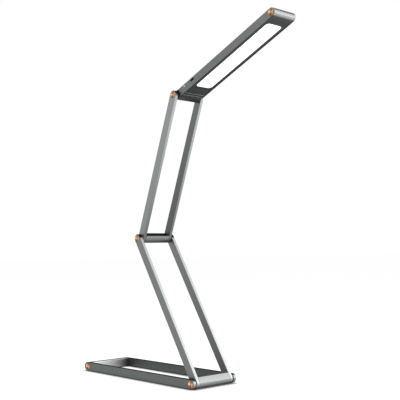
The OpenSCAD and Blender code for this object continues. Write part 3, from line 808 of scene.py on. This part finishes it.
# The strips have a little play in their grooves
STRIP_PLAY = 0.1 * MM
STRIP_HEIGHT = 1.1 * MM
STRIP_PROUD = 0.2 * MM
STRIP_BEVEL = 0.04 * MM
strip = bar_mesh("strip", groove * 0.96, bezel_high.y - bezel_low.y - STRIP_PLAY, STRIP_HEIGHT, STRIP_BEVEL)
trim = grown("cover_trim", strip, LATTICE, Columns=2, Rows=1, Length=cover_high.x - cover_low.x + groove,
             Width=0.0, Turn=HEAD_TURN,
             Centre=in_head((cover_low.x + cover_high.x) / 2, 0,
                            bezel_low.z - STRIP_PROUD + STRIP_HEIGHT / 2),
             Finish=metal("satin trim", (0.36, 0.37, 0.365), 0.6, 1500, 0.05, (1, 0.02, 1), 0.001 * MM))
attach(trim, "head")

# %% [markdown]
# A foot is an oblong rubber pad with low ribs across it, which grip the table. The pad is drawn as an
# outline with two round ends, pulled up, and the ribs stand below it.

# %% Rubber feet
FOOT_WIDTH = 3.4 * MM
FOOT_LENGTH = 24 * MM
FOOT_CHAMFER = 0.15 * MM
RIBS = 12
RIB_HEIGHT = 0.3 * MM
RIB_WIDTH = 0.7 * MM


def foot_mesh(height, steps=14):
    """Oblong pad from the ribs' height up to its own, with ribs across it that reach down to 0."""
    work = bmesh.new()
    radius = FOOT_WIDTH / 2
    reach = FOOT_LENGTH / 2 - radius
    levels = ((RIB_HEIGHT, radius - FOOT_CHAMFER), (RIB_HEIGHT + FOOT_CHAMFER, radius),
              (height - FOOT_CHAMFER, radius), (height, radius - FOOT_CHAMFER))
    rings = []
    for z, r in levels:
        turns = [math.pi * (i / steps - 0.5) for i in range(steps + 1)]
        ring = [(reach + r * math.cos(a), r * math.sin(a), z) for a in turns]
        ring += [(-x, -y, z) for x, y, z in ring]
        rings.append([work.verts.new(point) for point in ring])
    count = len(rings[0])
    for lower, upper in zip(rings, rings[1:]):
        for i in range(count):
            work.faces.new((lower[i], lower[(i + 1) % count], upper[(i + 1) % count], upper[i]))
    work.faces.new(rings[0][::-1])
    work.faces.new(rings[-1])
    # Each rib reaches a little way up into the pad
    rib = Matrix.Diagonal((RIB_WIDTH, FOOT_WIDTH * 0.86, RIB_HEIGHT * 1.2, 1))
    for i in range(RIBS):
        x = (i + 0.5 - RIBS / 2) * 2 * reach / RIBS
        bmesh.ops.create_cube(work, size=1, matrix=Matrix.Translation((x, 0, RIB_HEIGHT * 0.6)) @ rib)
    bmesh.ops.recalc_face_normals(work, faces=work.faces)
    mesh = bpy.data.meshes.new("foot")
    work.to_mesh(mesh)
    work.free()
    return mesh


feet_low, feet_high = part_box("base_feet")
feet = grown("ribbed_feet", foot_mesh(feet_high.z - feet_low.z), LATTICE, Columns=2, Rows=2,
             Length=feet_high.x - feet_low.x - FOOT_LENGTH, Width=feet_high.y - feet_low.y - FOOT_WIDTH,
             Turn=(0.0, 0.0, 0.0), Centre=((feet_low.x + feet_high.x) / 2, 0.0, feet_low.z),
             Finish=moulded("ribbed rubber", (0.02, 0.02, 0.02), 0.75, 1200, 0.05 * MM, 0.3))
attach(feet, "root")
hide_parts("base_feet")

# %% Domed button
button_low, button_high = own_box("power_button", "head")
BUTTON_RADIUS = 1.5 * MM
BUTTON_LIP = 0.6 * MM
DOME_RISE = 0.16 * MM
button_depth = button_high.y - button_low.y
lip_radius = (button_high.x - button_low.x) / 2
dome = [(BUTTON_RADIUS * math.sin(a), DOME_RISE * (1 - math.cos(a))) for a in (0.0, 0.4, 0.8, 1.1, 1.3)]
button_profile = [*dome, (BUTTON_RADIUS, 0.3 * MM), (BUTTON_RADIUS, button_depth - BUTTON_LIP),
                  (lip_radius, button_depth - BUTTON_LIP), (lip_radius, button_depth), (0, button_depth)]
button_mesh = turned(button_profile, 64)
button_mesh.transform(Matrix.Translation(in_head((button_low.x + button_high.x) / 2, button_low.y,
                                                 (button_low.z + button_high.z) / 2)))
glaze = moulded("button glaze", (0.86, 0.88, 0.88), 0.3, 1500, specular=0.5, mottle=0.03)
button_mesh.materials.append(glaze)
button = bpy.data.objects.new("domed_button", button_mesh)
bpy.context.scene.collection.objects.link(button)
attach(button, "power_button")
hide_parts("power_button")
for piece in (contacts, trim, feet, button):
    print(piece.name, len(piece.data.polygons), "faces")

# %% [markdown]
# ## Floor, background and light
#
# The photograph shows the lamp on pure white with a thin soft shadow. White that comes from strong lamps
# would wash out the metal, so the white is made where it is seen: the Light Path node tells camera rays,
# and rays that mirror or pass through something, from the rays that carry light. Only the first kinds see
# a strength of 1. The floor is a plain grey surface with some of that white added, less of it close to the
# lamp: that is a painted contact shadow, on top of the real shadow in the grey.


# %% White where it is seen
def seen(tree):
    """1 for rays that look at a thing, straight or in a mirror, and 0 for rays that carry its light."""
    rays = tree.add("ShaderNodeLightPath").output.node.outputs
    direct, mirrored, through = (Socket(tree, rays[name]) for name in
                                 ("Is Camera Ray", "Is Glossy Ray", "Is Transmission Ray"))
    return (direct + mirrored + through).math("MINIMUM", 1.0)


WHITE = (1, 1, 1, 1)
SKY_LIGHT = 0.6
world = bpy.data.worlds.new("studio")
bpy.context.scene.world = world
world.use_nodes = True
sky = Tree(world.node_tree)
strength = SKY_LIGHT + seen(sky) * (1.0 - SKY_LIGHT)
background = sky.add("ShaderNodeBackground", {"Color": WHITE, "Strength": strength})
sky.add("ShaderNodeOutputWorld", {"Surface": background})

# %% Floor
FLOOR_REACH = 30
FLOOR_GREY = (0.4, 0.4, 0.4, 1)
FLOOR_GLOW = 0.75
# How near a thing has to be to darken the glow into a painted contact shadow, and how sharply it does so
CONTACT = 9 * MM
PAINTED_SHADOW_SHARPNESS = 2.5
floor_corners = [(x * FLOOR_REACH, y * FLOOR_REACH, 0) for x, y in ((-1, -1), (1, -1), (1, 1), (-1, 1))]
floor_mesh = bpy.data.meshes.new("floor")
floor_mesh.from_pydata(floor_corners, [], [(0, 1, 2, 3)])
floor = bpy.data.objects.new("floor", floor_mesh)
bpy.context.scene.collection.objects.link(floor)
paper = bpy.data.materials.new("white paper")
paper.use_nodes = True
sheet = Tree(paper.node_tree)
matt = sheet.add("ShaderNodeBsdfDiffuse", {"Color": FLOOR_GREY})
open_air = sheet.add("ShaderNodeAmbientOcclusion", {"Distance": CONTACT}, out=1, samples=8)
# Less glow near the solids: a painted contact shadow, on top of the real shadow in the grey part
glow_with_painted_shadow = seen(sheet) * open_air.power(PAINTED_SHADOW_SHARPNESS) * FLOOR_GLOW
glow = sheet.add("ShaderNodeEmission", {"Color": WHITE, "Strength": glow_with_painted_shadow})
sheet.add("ShaderNodeOutputMaterial", {"Surface": sheet.add("ShaderNodeAddShader", {0: matt, 1: glow})})
floor_mesh.materials.append(paper)

# %% [markdown]
# Metal shows what is around it more than what falls on it. The faces towards the right of the picture are
# nearly white, because they mirror a big soft light behind and to the right of the lamp, and on the base
# and the lower arm painted light adds to that. The front faces mirror the plain white room, and come out as
# their own grey times a painted gain.


# %% Soft lights
def soft_light(name, place, aim, size, power):
    """Rectangular area light, wide and high, that shines from one place towards another."""
    data = bpy.data.lights.new(name, "AREA")
    data.shape = "RECTANGLE"
    data.size, data.size_y = size
    data.energy = power
    light = bpy.data.objects.new(name, data)
    light.location = place
    light.rotation_euler = (Vector(aim) - Vector(place)).to_track_quat("-Z", "Y").to_euler()
    bpy.context.scene.collection.objects.link(light)


soft_light("right window", (0.92, 0.91, 0.88), (0.05, 0.0, 0.22), (1.2, 1.6), 16)
soft_light("low card", (0.55, 0.48, 0.06), (0.06, 0.0, 0.36), (0.35, 0.12), 0.4)
soft_light("top box", (-0.3, -0.3, 1.9), (0.05, 0.0, 0.0), (1.2, 1.2), 14)
